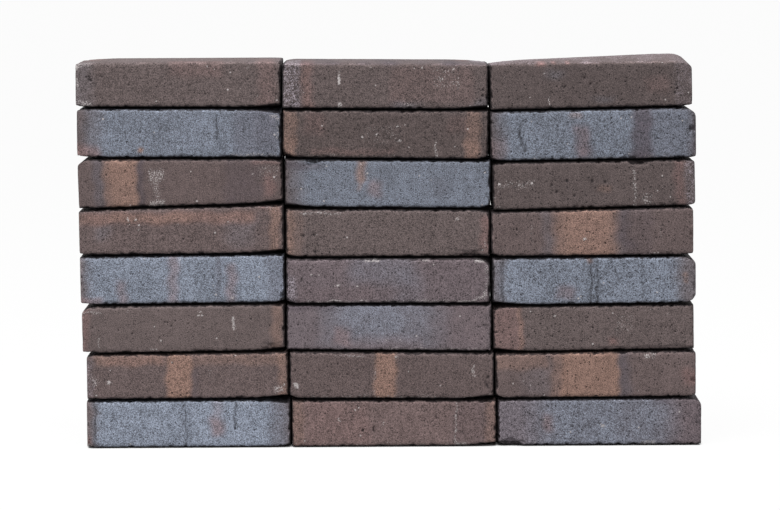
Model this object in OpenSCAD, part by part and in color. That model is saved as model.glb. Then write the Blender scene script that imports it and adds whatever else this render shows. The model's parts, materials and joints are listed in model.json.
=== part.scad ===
// Dry stack of fired clay bricks: three columns across, eight courses high and one brick deep.
// X runs along the face of the stack, Y goes back from the face and Z is up.
// The origin is on the floor, under the centre of the bottom course's middle brick.

/* [Brick] */
// Nominal length of a brick
brick_length = 210; // [190:1:260]
// Depth of a brick, from its face to its back
brick_depth = 100; // [80:1:140]
// Nominal height of a brick
brick_height = 50; // [45:0.5:75]

/* [Arrises] */
// Run of the arrises along the beds and the ends, from the face and from the back
arris_run = 2; // [1:0.25:4]
// Lift of the arrises, at the face and at the back
arris_lift = 1.5; // [0.5:0.25:3]
// Distance from the face at which the beds and the ends start to fall away
crown_run = 14; // [6:1:30]
// How far the beds have fallen where they reach the face
bed_drop = 1.2; // [0.2:0.1:2]
// How far the ends have fallen where they reach the face
end_drop = 0.7; // [0.2:0.1:2]

/* [Corners] */
// Run of a crisp corner, along the bed
crisp_run = 5; // [3:0.5:10]
// Lift of a crisp corner, at the end of the brick
crisp_lift = 1.5; // [0.5:0.25:3]
// Run of a worn corner, along the bed
worn_run = 12; // [8:1:20]
// Lift of a worn corner, at the end of the brick
worn_lift = 3.5; // [2:0.5:8]
// Run of a round corner, along the bed
round_run = 18; // [12:1:30]
// Lift of a round corner, at the end of the brick
round_lift = 8; // [5:0.5:12]
// Run of a lifted corner, where the bed bowed in the drying
lifted_run = 42; // [25:1:60]
// Lift of a lifted corner, at the end of the brick
lifted_lift = 3; // [1:0.5:6]
// Depth at which a corner that faces the next column is crisp again, behind the face
fade_depth = 40; // [20:1:80]
// Height of the edge with which such a corner's wear starts on the bed
fade_edge = 0.3; // [0.1:0.1:0.6]

/* [Twist] */
// Rise of a twisted brick's back right corner
twist_rise = 4; // [1:0.5:8]
// Fall of a twisted brick's back left corner
twist_fall = 2.5; // [1:0.5:5]

/* [Stack] */
// Open joint between two columns of nominal bricks
column_gap = 1; // [1:0.5:15]

/* [Hidden] */
$fa = 1;
$fs = 0.5;

// Allowance by which a cutting shape stands clear of what it cuts
spare = 30;

// Kinds of corner, each as its run and its lift
crisp = [crisp_run, crisp_lift];
worn = [worn_run, worn_lift];
round = [round_run, round_lift];
lifted = [lifted_run, lifted_lift];

// Tones that the bricks took in the kiln
blue = "#7a808d";
slate = "#706b72";
mauve = "#6f6265";
brown = "#655957";
flashed = "#7a655f";

// Top beds: one plane, or two planes that meet along a diagonal
flat = false;
twisted = true;

// What each place in a brick's row of the survey holds. Lengths are departures from the nominal brick.
TONE = 0;
SLIDE = 1; // to the right of its column's centre
EXTRA_LENGTH = 2;
EXTRA_LEFT = 3; // height of its left end
EXTRA_RIGHT = 4; // height of its right end
SET_BACK = 5; // of its face, behind the nominal one
TOP = 6;
CORNERS = 7;

// Places in a brick's list of corners
TOP_LEFT = 0;
TOP_RIGHT = 1;
BOTTOM_RIGHT = 2;
BOTTOM_LEFT = 3;

// Every brick, each course from left to right and the bottom course first
survey = [
    [blue, 0, 0, 0, 0.5, 0.5, flat, [crisp, lifted, worn, crisp]],
    [mauve, 0, 0.5, 0, -1.5, 0, flat, [crisp, crisp, lifted, crisp]],
    [slate, 0, 0, -1, 0, 0.5, flat, [crisp, round, crisp, worn]],

    [flashed, -0.5, -2.5, -2.5, -1, -0.5, flat, [worn, crisp, lifted, crisp]],
    [flashed, -2.5, 0, 0, -1, -1, flat, [crisp, crisp, lifted, worn]],
    [flashed, -4, -3.5, -2.5, -1, -0.5, flat, [crisp, worn, worn, worn]],

    [brown, -4, -1.5, 0, -0.5, 0, flat, [round, crisp, lifted, lifted]],
    [slate, -5, 0.5, -2, 0, 0.5, flat, [crisp, crisp, crisp, crisp]],
    [brown, -6, -3.5, -1.5, -2.5, 1, flat, [worn, crisp, crisp, lifted]],

    [blue, -4.5, 0, 1, 1, 0.5, flat, [crisp, crisp, worn, lifted]],
    [mauve, -5.5, -1, -2.5, -2.5, -1.5, flat, [crisp, round, crisp, worn]],
    [blue, -5.5, -1, 0, -0.5, 0, flat, [crisp, round, round, lifted]],

    [flashed, -5, 0, -2, 1, 0, flat, [lifted, crisp, lifted, worn]],
    [brown, -5.5, -1, 1, -0.5, 0.5, flat, [crisp, worn, crisp, worn]],
    [flashed, -7.5, -2.5, -3, 0.5, -0.5, flat, [crisp, worn, worn, worn]],

    [flashed, -5, -0.5, 2, -3.5, -1, flat, [round, worn, lifted, crisp]],
    [blue, -5.5, 0.5, 1, 0, 0.5, flat, [crisp, crisp, worn, lifted]],
    [brown, -5.5, -2.5, 0.5, -1.5, 0.5, flat, [worn, worn, worn, crisp]],

    [blue, -6.5, -1, 1.5, 1, 0, flat, [worn, lifted, crisp, lifted]],
    [brown, -7.5, 0, 0, 1, -0.5, flat, [crisp, crisp, worn, round]],
    [blue, -6.5, 0.5, 2, 3, 0, flat, [crisp, round, worn, worn]],

    [brown, -7, -0.5, -3, -1.5, 0.5, flat, [lifted, crisp, lifted, worn]],
    [brown, -7.5, 0, -2, -2, -0.5, flat, [worn, lifted, lifted, crisp]],
    [brown, -8.5, -3.5, -0.5, -2.5, 0.5, twisted, [lifted, round, worn, crisp]]
];

column_names = ["left", "middle", "right"];
columns = len(column_names);

// Sizes of one brick
function length_of(i) = brick_length + survey[i][EXTRA_LENGTH];
function left_height(i) = brick_height + survey[i][EXTRA_LEFT];
function right_height(i) = brick_height + survey[i][EXTRA_RIGHT];
function middle_height(i) = (left_height(i) + right_height(i)) / 2;
function taper(i) = atan((right_height(i) - left_height(i)) / length_of(i));

// Place of one brick. It sits on the top bed of the brick below, so it leans as that bed does.
function lean(i) = i < columns ? 0 : lean(i - columns) + taper(i - columns);
function foot_x(i) =
    (i % columns - (columns - 1) / 2) * (brick_length + column_gap) + survey[i][SLIDE];
function head_x(i) = foot_x(i) - middle_height(i) * sin(lean(i));
function head_z(i) = foot_z(i) + middle_height(i) * cos(lean(i));
function foot_z(i) =
    i < columns ? 0
    : head_z(i - columns) + (foot_x(i) - head_x(i - columns)) * tan(lean(i));

// Whether a corner is at an end of the stack, where no other column stands beside it,
// or on the top of the stack
function at_end(i, place) =
    place == TOP_LEFT || place == BOTTOM_LEFT ? i % columns == 0 : i % columns == columns - 1;
function on_top(i, place) =
    i >= len(survey) - columns && (place == TOP_LEFT || place == TOP_RIGHT);
function stands_open(i, place) = at_end(i, place) || on_top(i, place);

// The corner that runs through the whole depth. It is a crisp one where another column stands
// beside it.
function through_corner(i, place) = stands_open(i, place) ? survey[i][CORNERS][place] : crisp;

// Radius of the arc that lies along a bed and has risen by the corner's lift after its run
function ease_radius(corner) = (corner[0] ^ 2 + corner[1] ^ 2) / (2 * corner[1]);

// Height to which a crown has brought a bed or an end at some distance from the face
function crown_height(distance, drop) =
    let (radius = ease_radius([crown_run, drop]))
    radius - sqrt(radius ^ 2 - (crown_run - distance) ^ 2);

// What a corner lacks: the area under its arc, with the corner at the origin and the bed along +X.
// The arc runs on past the corner, so that the end of the brick cuts it cleanly.
module ease(corner) {
    difference() {
        translate([-spare, -spare])
            square([corner[0] + spare, ease_radius(corner) + spare]);
        translate([corner[0], ease_radius(corner)])
            circle(ease_radius(corner));
    }
}

// What a bed or an end lacks where it falls away to the face: the crown, and the arris beyond it
module fallen_edge(drop) {
    ease([crown_run, drop]);
    translate([0, crown_height(arris_run, drop)])
        ease([arris_run, arris_lift]);
}

// Outline of a bed from the front, flat between its two corners
module bed_front(length, height, left, right) {
    difference() {
        translate([-length / 2 - spare, 0])
            square([length + 2 * spare, height]);
        translate([-length / 2, 0])
            ease(left);
        translate([length / 2, 0])
            mirror([1, 0])
                ease(right);
    }
}

// Outline of a bed from the end, flat in the middle and falling away to the face and to the back
module bed_end(height) {
    difference() {
        translate([-brick_depth / 2 - spare, 0])
            square([brick_depth + 2 * spare, height]);
        for (side = [0, 1])
            mirror([side, 0])
                translate([-brick_depth / 2, 0])
                    fallen_edge(bed_drop);
    }
}

// What a corner beside another column lacks at the face, on the left of a bed at z = 0.
// Its lift counts from the edge of the face, to which the bed has already fallen.
// The cut is turned in plan, so that it has left through the end of the brick at the fade depth.
module face_wear(i, place) {
    corner = survey[i][CORNERS][place];
    lift = corner[1] + bed_drop + arris_lift;
    run = corner[0] * lift / corner[1];
    turn = atan(run / fade_depth);
    if (corner != crisp && !stands_open(i, place))
        translate([-length_of(i) / 2, -brick_depth / 2, -fade_edge])
            rotate([90, 0, turn])
                linear_extrude(2 * (run + fade_depth), center = true)
                    ease([run * cos(turn), lift + fade_edge]);
}

// Block that stands on its bed at z = 0 and reaches past the brick on every other side
module bedded_block(i, height, left, right) {
    length = length_of(i);
    difference() {
        intersection() {
            rotate([90, 0, 0])
                linear_extrude(brick_depth + spare, center = true)
                    bed_front(length, height, through_corner(i, left), through_corner(i, right));
            rotate([90, 0, 90])
                linear_extrude(length + spare, center = true)
                    bed_end(height);
        }
        face_wear(i, left);
        mirror([1, 0, 0])
            face_wear(i, right);
    }
}

// The same block turned over, with its bed up. The bed starts over the brick's front left corner
// and climbs to the right and to the back by the given rises.
module topping_block(i, height, rise_right, rise_back) {
    length = length_of(i);
    translate([-length / 2, -brick_depth / 2, left_height(i)])
        rotate([atan(rise_back / brick_depth), -atan(rise_right / length), 0])
            translate([length / 2, brick_depth / 2, 0])
                mirror([0, 0, 1])
                    bedded_block(i, height, TOP_LEFT, TOP_RIGHT);
}

// Upright prism on the brick's plan, with ends that fall away to the face and to the back
module plan_prism(length, height) {
    translate([0, 0, -spare])
        linear_extrude(height + 2 * spare)
            difference() {
                square([length, brick_depth], center = true);
                for (side = [0, 1], end = [0, 1])
                    mirror([0, side])
                        mirror([end, 0])
                            translate([-length / 2, -brick_depth / 2])
                                mirror([1, -1])
                                    fallen_edge(end_drop);
            }
}

// One brick standing on z = 0
module brick_solid(i) {
    tall = max(left_height(i), right_height(i)) + twist_rise;
    climb = right_height(i) - left_height(i);
    intersection() {
        plan_prism(length_of(i), tall);
        bedded_block(i, tall + spare, BOTTOM_LEFT, BOTTOM_RIGHT);
        if (survey[i][TOP] == flat) {
            topping_block(i, tall + spare, climb, 0);
        } else {
            intersection() {
                topping_block(i, tall + spare, climb, twist_rise);
                topping_block(i, tall + spare, climb + twist_rise + twist_fall, -twist_fall);
            }
        }
    }
}

// One brick in its place in the stack
module brick(i) {
    color(survey[i][TONE])
        translate([foot_x(i), survey[i][SET_BACK], foot_z(i)])
            rotate([0, -lean(i), 0])
                brick_solid(i);
}

for (i = [0 : len(survey) - 1])
    brick(i);
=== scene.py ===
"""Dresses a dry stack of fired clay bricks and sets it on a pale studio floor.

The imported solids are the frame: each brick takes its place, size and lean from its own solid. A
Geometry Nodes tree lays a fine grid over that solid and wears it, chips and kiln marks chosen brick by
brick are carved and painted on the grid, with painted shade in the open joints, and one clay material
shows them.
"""

import json
import math
from typing import NamedTuple

import bpy
import numpy as np
from mathutils import Matrix, Vector


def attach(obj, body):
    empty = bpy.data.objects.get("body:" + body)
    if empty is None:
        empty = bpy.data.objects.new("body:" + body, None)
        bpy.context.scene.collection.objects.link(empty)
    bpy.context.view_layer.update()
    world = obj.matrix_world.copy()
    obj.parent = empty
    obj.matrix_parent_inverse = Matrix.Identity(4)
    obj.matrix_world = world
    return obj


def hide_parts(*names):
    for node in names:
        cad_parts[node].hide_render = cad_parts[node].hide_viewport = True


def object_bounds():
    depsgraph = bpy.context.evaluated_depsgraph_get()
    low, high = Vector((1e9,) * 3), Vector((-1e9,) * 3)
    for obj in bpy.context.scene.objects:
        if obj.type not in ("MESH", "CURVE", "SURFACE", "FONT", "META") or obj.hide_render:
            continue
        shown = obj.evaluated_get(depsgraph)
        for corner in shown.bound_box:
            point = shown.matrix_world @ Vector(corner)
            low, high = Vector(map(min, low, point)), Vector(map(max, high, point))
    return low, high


bl_info = {
    "name": "Fired Clay Brick Stack",
    "version": (1, 0, 0),
    "blender": (4, 5, 0),
    "location": "3D View > Sidebar > Bricks",
    "description": "Dresses a dry stack of fired clay bricks and lights it on a studio floor",
    "category": "Object",
}

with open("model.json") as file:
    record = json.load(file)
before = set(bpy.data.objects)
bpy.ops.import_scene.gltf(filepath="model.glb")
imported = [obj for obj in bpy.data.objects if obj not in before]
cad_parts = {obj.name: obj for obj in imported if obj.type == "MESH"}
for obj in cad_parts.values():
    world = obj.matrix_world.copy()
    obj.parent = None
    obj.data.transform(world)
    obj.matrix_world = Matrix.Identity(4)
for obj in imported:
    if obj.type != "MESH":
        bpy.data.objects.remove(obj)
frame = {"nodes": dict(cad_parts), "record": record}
cad_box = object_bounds()

MM = 0.001
IMAGE_WIDTH = 780
BODY = "root"


def linear(red, green, blue):
    """A display colour from 0 to 255 as the linear colour that shaders take."""
    return tuple(
        channel / 255 / 12.92 if channel <= 10 else ((channel / 255 + 0.055) / 1.055) ** 2.4
        for channel in (red, green, blue)
    )


def colour_property(name, description, *display):
    """A colour that a user may change, given as it looks on a display."""
    return bpy.props.FloatVectorProperty(
        name=name, description=description, subtype="COLOR", default=linear(*display), min=0.0, max=1.0
    )


def length_property(name, description, metres):
    """A length that a user may change."""
    return bpy.props.FloatProperty(name=name, description=description, default=metres, unit="LENGTH")


def count_property(name, description, count, least):
    """A whole number that a user may change."""
    return bpy.props.IntProperty(name=name, description=description, default=count, min=least)


class StackClay(bpy.types.PropertyGroup):
    """Colours that the clay took in the kiln."""

    blue: colour_property("Blue body", "Clay under the ash of a blue brick", 106, 95, 96)
    slate: colour_property("Slate body", "Clay of a brick with a blue-grey cloud", 108, 98, 102)
    mauve: colour_property("Mauve body", "Clay of a mauve brick", 113, 99, 101)
    brown: colour_property("Brown body", "Clay of a dark brown brick", 101, 89, 88)
    flashed: colour_property("Flashed body", "Clay of a brick with flame-flashed bands", 104, 90, 89)
    flash: colour_property("Flash", "Pale orange-brown of a band that the flame reached", 141, 113, 102)
    ash: colour_property("Ash", "Steel blue of a face that ash settled on", 126, 133, 147)
    smoke: colour_property("Smoke", "Dark mauve of a band that the fire starved of air", 80, 72, 79)
    blush: colour_property("Blush", "Dusky red of a strip that fired softly", 132, 103, 100)
    lime: colour_property("Lime", "Off-white of lime specks and runs", 202, 195, 194)
    crust: colour_property("Crust", "Pale grey of a gritty end", 166, 156, 165)
    # The pit colour is also the near-black of the painted shade in the open joints.
    pit: colour_property("Pit", "Near black of the small open pits and joints", 28, 23, 26)


class StackRelief(bpy.types.PropertyGroup):
    """Sizes of the grid over a brick and of the wear on it."""

    columns: count_property("Columns", "Grid points along a brick", 177, 8)
    layers: count_property("Layers", "Grid points from face to back", 15, 8)
    rows: count_property("Rows", "Grid points from bottom to top", 41, 8)
    wear_depth: length_property("Wear depth", "How deep the arrises are worn at most", 2.2 * MM)
    wear_reach: length_property("Wear reach", "How far from an arris the wear ends", 5 * MM)
    ripple: length_property("Ripple", "Depth of the slow unevenness of the faces", 0.3 * MM)
    grain: length_property("Grain", "Depth of the sandy grain", 0.25 * MM)
    pit_depth: length_property("Pit depth", "Depth of the pits that are carved", 0.9 * MM)
    rounding: count_property("Rounding", "Passes that round the arrises", 9, 0)
    rounding_reach: length_property("Rounding reach", "How far from an arris the rounding ends", 14 * MM)


class StackStudio(bpy.types.PropertyGroup):
    """Camera and lights."""

    distance: length_property("Distance", "From the face of the stack to the camera", 3.4)
    eye_height: length_property("Eye height", "Height of the camera over the floor", 0.547)
    aim_height: length_property("Aim height", "Height on the face that the camera looks at", 0.1984)
    aim_side: length_property("Aim side", "Place along the face that the camera looks at", -0.0033)
    roll: bpy.props.FloatProperty(
        name="Roll",
        description="Turn of the camera about its own axis",
        default=math.radians(0.322),
        unit="ROTATION",
    )
    pixels_per_mm: bpy.props.FloatProperty(
        name="Pixels per millimetre",
        description="Scale of the picture at the face of the stack",
        default=0.9807,
    )
    sky: bpy.props.FloatProperty(
        name="Sky", description="Strength of the even light from all sides", default=0.42
    )
    key: bpy.props.FloatProperty(
        name="Key", description="Power of the soft box over the stack", default=85.0, unit="POWER"
    )


class Mark(NamedTuple):
    """One mark on a face, in millimetres from the brick's left end and from its bottom."""

    kind: str
    left: float
    right: float
    low: float
    high: float
    amount: float = 1.0


class Chip(NamedTuple):
    """One broken place on a face, in millimetres from the left end, from the bottom and inwards."""

    left: float
    right: float
    low: float
    high: float
    deep: float


class Finish(NamedTuple):
    """How one brick came out of the kiln."""

    shade: float
    warmth: float
    marks: tuple
    chips: tuple = ()


BELOW = -20
ABOVE = 80
CREST_LEFT = -5
CREST_RIGHT = 215
CREST_LOW = 49
CREST_HIGH = 120
PIT_WIDTH = 2.8
SPECK_WIDTHS = (2.1, 1.5, 1.8)


def band(kind, left, right, amount=1.0):
    """A mark over the whole height of a brick."""
    return Mark(kind, left, right, BELOW, ABOVE, amount)


def spot(kind, along, up, wide, amount=1.0):
    """A round mark."""
    return Mark(kind, along - wide / 2, along + wide / 2, up - wide / 2, up + wide / 2, amount)


def crest(kind, amount):
    """A mark over the whole top of a brick."""
    return Mark(kind, CREST_LEFT, CREST_RIGHT, CREST_LOW, CREST_HIGH, amount)


def foot_film(amount):
    """A thin film of lime along the bottom of a face."""
    return Mark("lime", 20, 190, 1.5, 4.5, amount)


def pits(*places):
    """Open pits of the usual size."""
    return tuple(spot("pit", along, up, PIT_WIDTH) for along, up in places)


def specks(*places):
    """Lime specks of a few small sizes."""
    return tuple(
        spot("lime", along, up, SPECK_WIDTHS[i % len(SPECK_WIDTHS)])
        for i, (along, up) in enumerate(places)
    )


FINISHES = {
    "brick_course1_left": Finish(1.15, 0.0, (
        band("ash", 9, 207, 0.6), band("ash", 12, 190, 0.9), band("smoke", 187, 209, 0.22),
        Mark("seam_and_joint_shade", 8, 10.5, 0, 50, 0.5), Mark("seam_and_joint_shade", 56, 58, 4, 46, 0.25),
        Mark("seam_and_joint_shade", 101.5, 103.5, 0, 50, 0.6), Mark("seam_and_joint_shade", 105.5, 107.5, 4, 40, 0.4),
        Mark("seam_and_joint_shade", 152, 154.5, 22, 50, 0.65), spot("pit", 153, 20, 3.4),
        Mark("blush", 128, 142, 13, 32, 0.5), Mark("blush", 130, 140, 32, 50, 0.2),
        Mark("blush", 0, 7, 2, 12, 0.6), Mark("lime", 0, 8, 1, 5, 0.6),
        Mark("lime", 150, 205, 44, 48, 0.35),
        *pits((26, 28), (16, 27), (49, 18), (84, 24), (85, 20), (107, 23), (148, 30), (168, 33)),
        *pits((187, 23), (190, 21), (174, 18)),
    ), (Chip(-2, 6, -1, 6, 4),)),
    "brick_course1_middle": Finish(0.99, 0.07, (
        band("flash", 2, 12, 0.4), band("flash", 199, 209, 0.35),
        Mark("smoke", 165, 200, 0, 50, 0.22), Mark("blush", 14, 80, 2, 48, 0.2),
        Mark("lime", 167.5, 170, 1, 48, 0.6), Mark("lime", 171, 180, 1, 6, 0.5),
        Mark("lime", 46, 52, 24, 31, 0.5), spot("lime", 94, 25, 5, 0.5), foot_film(0.35),
        *specks((69, 42), (98, 4), (5, 5)), Mark("pit", 82.6, 85.4, 15, 23),
        spot("pit", 72, 18, 3.4),
        *pits((73, 18), (132, 31), (37, 16), (135, 42), (149, 30), (14, 32)),
    )),
    "brick_course1_right": Finish(1.0, -0.03, (
        band("ash", 0, 40, 0.25), band("ash", 30, 185, 0.3), band("ash", 50, 165, 0.28),
        band("ash", 61, 124, 0.28), band("blush", 176, 209, 0.12), band("blush", 0, 40, 0.15),
        Mark("blush", 47, 57, 17, 33, 0.4), Mark("smoke", 160, 178, 43, 48, 0.5),
        Mark("lime", 104, 111, 19, 23, 0.8), Mark("lime", 145, 165, 2, 5.5, 0.6), *specks((49, 28)),
        *pits((17, 26), (32, 17), (25, 13), (50, 20), (58, 20), (70, 22), (77, 20), (89, 28), (90, 20)),
        *pits((132, 28), (140, 28), (154, 29), (162, 25), (165, 19), (148, 20), (127, 21), (191, 28)),
        *pits((192, 25)),
    ), (Chip(-2, 28, -1, 8, 6),)),
    "brick_course2_left": Finish(1.0, 0.0, (
        band("flash", 83, 108, 0.95), band("flash", 197, 207, 0.5),
        Mark("flash", 10, 80, 36, 46, 0.5), Mark("blush", 20, 80, 37, 44, 0.35),
        Mark("flash", 109, 205, 36, 46, 0.35), band("smoke", 108, 116, 0.25),
        spot("smoke", 86, 45, 6, 0.6), Mark("crust", 0, 8, 4, 40, 0.35),
        Mark("lime", 3, 13, 13, 25, 0.5), Mark("lime", 19, 26, 16, 20, 0.9),
        Mark("lime", 190, 203, 6, 15, 0.6), Mark("lime", 121, 135, 18, 33, 0.3),
        *specks((26, 31), (184, 17), (195, 12), (202, 15)), *pits((88, 6), (97, 4), (104, 7)),
    )),
    "brick_course2_middle": Finish(0.92, 0.0, (
        band("flash", 88, 109, 0.95), Mark("lime", 4, 10, 11, 18, 0.9),
        Mark("lime", 187, 191, 23, 37, 0.6), Mark("lime", 43, 78, 43, 47, 0.45),
        spot("lime", 110, 45, 5, 0.6), foot_film(0.4), Mark("lime", 86, 89, 2, 44, 0.35),
        *specks((154, 15), (205, 5), (191, 36)), Mark("pit", 199, 207, 10, 28, 0.7),
        *pits((6, 30), (60, 26), (49, 37), (171, 27), (42, 8), (203, 15), (204, 22)),
    )),
    "brick_course2_right": Finish(1.04, 0.0, (
        band("flash", 68, 126), band("flash", 58, 70, 0.4), Mark("blush", 72, 122, 0, 12, 0.3),
        band("smoke", 126, 138, 0.4), band("ash", 126, 138, 0.1), Mark("flash", 1, 53, 31, 46, 0.4),
        Mark("ash", 28, 57, 3, 32, 0.1), Mark("blush", 193, 206, 12, 28, 0.5),
        Mark("lime", 152, 167, 40, 46, 0.55), Mark("lime", 197, 204, 16, 26, 0.3),
        *specks((51, 4), (145, 7), (37, 14), (30, 19)),
        *pits((70, 24), (105, 19), (63, 27), (61, 7), (67, 9), (28, 32), (22, 30), (39, 31), (145, 26)),
        *pits((163, 29), (172, 27), (94, 12), (87, 37)),
    ), (Chip(198, 212, 15, 21, 4),)),
    "brick_course3_left": Finish(1.05, 0.0, (
        band("flash", 195, 206, 0.45), band("blush", 0, 8, 0.4), Mark("seam_and_joint_shade", 185, 205, 8, 10, 0.5),
        Mark("lime", 1, 22, 41, 46, 0.5), Mark("lime", 42, 50, 41, 45, 0.5),
        Mark("lime", 17, 20, 5, 20, 0.6), Mark("lime", 154.5, 158, 22, 38, 0.8),
        Mark("lime", 158, 161, 12, 22, 0.45), Mark("lime", 69, 79, 3, 6, 0.6),
        Mark("lime", 117, 127, 34, 44, 0.35),
        *specks((74, 29), (122, 42), (124, 38), (120, 38), (197, 7)),
        *pits((88, 32), (92, 28), (96, 33)),
        *pits((12, 28), (37, 24), (85, 33), (110, 30), (118, 27), (174, 34), (193, 27), (52, 21)),
    ), (Chip(184, 207, -1, 8, 3),)),
    "brick_course3_middle": Finish(1.05, 0.0, (
        Mark("ash", 35, 165, 4, ABOVE, 0.2), Mark("ash", 50, 145, 8, ABOVE, 0.2),
        Mark("ash", 62, 120, 16, ABOVE, 0.22), Mark("blush", 48, 65, 6, 24, 0.4),
        band("blush", 152, 208, 0.08), Mark("blush", 60, 140, 3, 16, 0.15),
        Mark("smoke", 2, 51, 42, 48, 0.45), Mark("seam_and_joint_shade", 199, 208, 27, 29, 0.7),
        Mark("lime", 100, 205, 1.5, 4.5, 0.45),
        *specks((102, 11), (138, 7), (116, 12), (93, 11), (138, 4)),
        *pits((12, 28), (76, 21), (88, 21), (95, 30), (95, 26), (114, 21), (121, 20), (130, 20)),
        *pits((135, 28), (168, 18), (196, 26), (201, 13), (159, 24)),
    )),
    "brick_course3_right": Finish(1.0, 0.0, (
        band("blush", 0, 30, 0.4), band("flash", 26, 30.5, 0.45), spot("blush", 123, 10, 8, 0.6),
        Mark("lime", 124, 145, 18, 40, 0.3), Mark("seam_and_joint_shade", 104, 205, 3, 5, 0.55),
        *specks((64, 38), (48, 3), (178, 38), (40, 43), (156, 42)),
        *pits((61, 28), (40, 24), (35, 15), (18, 18), (102, 24), (107, 19), (82, 12), (160, 26)),
        *pits((177, 24), (183, 26), (185, 19), (193, 17), (3, 22)),
    )),
    "brick_course4_left": Finish(1.0, 0.0, (
        band("ash", 4, 212, 0.5), band("ash", 11, 212, 0.9), Mark("blush", 2, 22, 1, 8, 0.4),
        Mark("blush", 38, 48, 0, 26, 0.4), Mark("blush", 91, 101, 0, 50, 0.35),
        band("smoke", 139, 145, 0.35), Mark("blush", 150, 160, -5, 40, 0.4),
        Mark("smoke", 192, 209, 0, 50, 0.25), spot("pit", 136, 28, 3), spot("lime", 156, 6, 4, 0.7),
        Mark("lime", 1, 7, 43, 46, 0.7), Mark("lime", 205, 209, 2, 5, 0.6),
        *pits((21, 31), (55, 33), (66, 20)),
    ), (Chip(-3, 4, 26, 32, 4), Chip(204, 212, -1, 13, 4))),
    "brick_course4_middle": Finish(0.92, -0.04, (
        Mark("ash", 65, 132, 22, ABOVE, 0.22), Mark("ash", 112, 140, 2, 30, 0.15),
        Mark("blush", 12, 90, 3, 18, 0.05), Mark("crust", 0, 10, 1, 28, 0.8),
        Mark("lime", 78, 98, 43, 47, 0.7), Mark("lime", 138, 149, 43, 47, 0.6),
        Mark("lime", 192, 206, 42, 47, 0.8), Mark("lime", 203, 207, 14, 42, 0.45),
        Mark("lime", 50, 56, 18, 20.5, 0.9), Mark("lime", 43, 56, 3, 5, 0.7),
        Mark("lime", 20, 185, 1.5, 4.5, 0.5), Mark("lime", 178, 196, 2, 5, 0.6),
        Mark("lime", 192, 203, 4, 8, 0.65), Mark("lime", 200, 206, 7, 14, 0.65),
        *specks((35, 31), (25, 38)), *pits((160, 27), (154, 14), (67, 24)),
    )),
    "brick_course4_right": Finish(0.91, 0.0, (
        band("ash", 9, 192, 0.5), band("ash", 14, 186, 0.8), band("ash", 0, 9, 0.25),
        Mark("seam_and_joint_shade", 9, 12, 0, 50, 0.5), Mark("seam_and_joint_shade", 100, 102, 0, 50, 0.65),
        Mark("seam_and_joint_shade", 106, 108.5, 0, 50, 0.6), Mark("seam_and_joint_shade", 153, 155, 5, 44, 0.3),
        Mark("blush", 66, 86, 5, 19, 0.25), Mark("smoke", 66, 86, 5, 20, 0.35),
        band("ash", 187, 209, 0.15), spot("flash", 100, 46, 5, 0.6), spot("flash", 199, 28, 5, 0.4),
        spot("flash", 198, 22, 4, 0.4), Mark("lime", 70, 84, 11, 12.5, 0.4),
        *pits((48, 33), (39, 29), (21, 24), (72, 37), (131, 26), (158, 24), (170, 26), (7, 22)),
        *pits((29, 22), (142, 28)),
    )),
    "brick_course5_left": Finish(0.96, 0.0, (
        Mark("flash", 0, 180, 33, 44, 0.35), Mark("blush", 4, 180, 33, 44, 0.45),
        Mark("flash", 32, 117, 34, 42, 0.3), band("flash", 196, 206, 0.55),
        Mark("seam_and_joint_shade", 20, 130, 32, 33.5, 0.25), Mark("ash", 18, 32, 18, 32, 0.15),
        Mark("ash", 150, 182, 9, 35, 0.12), Mark("blush", 185, 206, 44, 50, 0.4),
        Mark("lime", 49, 66, 7, 11, 0.3), Mark("lime", 58, 61, 33, 42, 0.6),
        Mark("lime", 50, 52.5, 30, 42, 0.5), Mark("lime", 190, 206, 44, 50, 0.4),
        *specks((51, 38), (59, 37), (61, 26), (61, 31), (102, 31), (154, 34)),
        *pits((85, 23), (86, 16), (112, 19), (106, 17), (115, 13), (184, 23), (185, 19), (26, 17)),
    ), (Chip(10, 28, -1, 3, 4), Chip(49, 61, -1, 3.5, 5), Chip(72, 118, -1, 2.5, 3))),
    "brick_course5_middle": Finish(1.0, 0.0, (
        band("flash", 0, 9, 0.55), band("flash", 9, 18, 0.2), Mark("blush", 199, 207, 5, 44, 0.45),
        Mark("seam_and_joint_shade", 172, 203, 6, 7.5, 0.6), Mark("pit", 10, 48, 4, 28, 0.55),
        Mark("lime", 14, 59, 44, 48, 0.55), Mark("lime", 118, 120, 5, 42, 0.3),
        Mark("lime", 172, 178, 37, 42, 0.6), Mark("lime", 202, 206, 5, 20, 0.4),
        *specks((32, 24), (36, 7), (83, 38), (201, 7)),
        *pits((5, 20), (18, 23), (29, 23), (23, 11), (31, 6), (83, 31), (154, 33), (91, 6)),
    ), (Chip(172, 207, -1, 6, 4),)),
    "brick_course5_right": Finish(0.92, 0.0, (
        band("flash", 62, 131, 0.25), band("flash", 68, 126, 0.45), band("flash", 76, 121, 0.5),
        Mark("blush", 82, 119, 0, 50, 0.3), band("ash", 53, 64, 0.1), band("smoke", 53, 66, 0.1),
        Mark("smoke", 127, 141, 14, ABOVE, 0.45), Mark("smoke", 134, 150, 6, 18, 0.35),
        band("ash", 127, 139, 0.08), band("smoke", 139, 165, 0.2),
        Mark("lime", 93, 99, 16, 19.5, 0.9), Mark("lime", 40.5, 43.5, 9, 38, 0.4),
        Mark("lime", 172, 174, 16, 33, 0.5), Mark("lime", 160, 172, 1, 4, 0.5),
        *pits((71, 30), (98, 25), (117, 14), (110, 12), (78, 28), (134, 26), (9, 34), (5, 20), (26, 28)),
        *pits((124, 33), (44, 15), (174, 26)),
    ), (Chip(202, 212, 19, 25, 4), Chip(-2, 10, -1, 4, 6))),
    "brick_course6_left": Finish(0.88, 0.0, (
        band("ash", 17, 27, 0.15), band("smoke", 17, 27, 0.25), band("flash", 27, 61, 0.5),
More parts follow.
